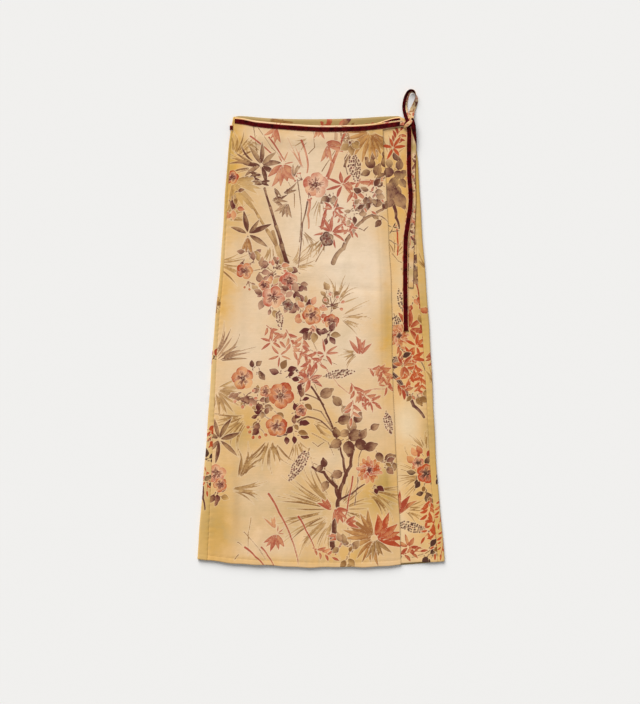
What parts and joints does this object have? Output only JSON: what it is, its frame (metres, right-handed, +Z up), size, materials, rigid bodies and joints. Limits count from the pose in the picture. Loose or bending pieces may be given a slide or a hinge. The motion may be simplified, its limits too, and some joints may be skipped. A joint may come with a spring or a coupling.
{
  "type": "wrap skirt",
  "caption": "Long satin wrap skirt with a floral print and velvet ribbon ties, laid flat on its back with the ties knotted at one side.",
  "frame": {"origin": "bottom centre of the skirt's box as it lies flat, on the surface it rests on", "axes": "+Z up off the surface, +Y from hem to waist, +X to the wearer's left, where the ties are knotted"},
  "size_m": [0.4823, 0.9298, 0.0155],
  "materials": {
    "printed_satin": "printed satin, soft sheen",
    "velvet_ribbon": "burgundy velvet, matt pile"
  },
  "bodies": {
    "root": {"back_panel": "printed_satin", "under_front_panel": "printed_satin", "over_front_panel": "printed_satin", "over_waist_ribbon": "velvet_ribbon", "under_waist_ribbon": "velvet_ribbon", "back_tie": "velvet_ribbon", "tie_knot": "velvet_ribbon", "tie_loop": "velvet_ribbon", "long_tail": "velvet_ribbon", "short_tail": "printed_satin"}
  },
  "joints": []
}
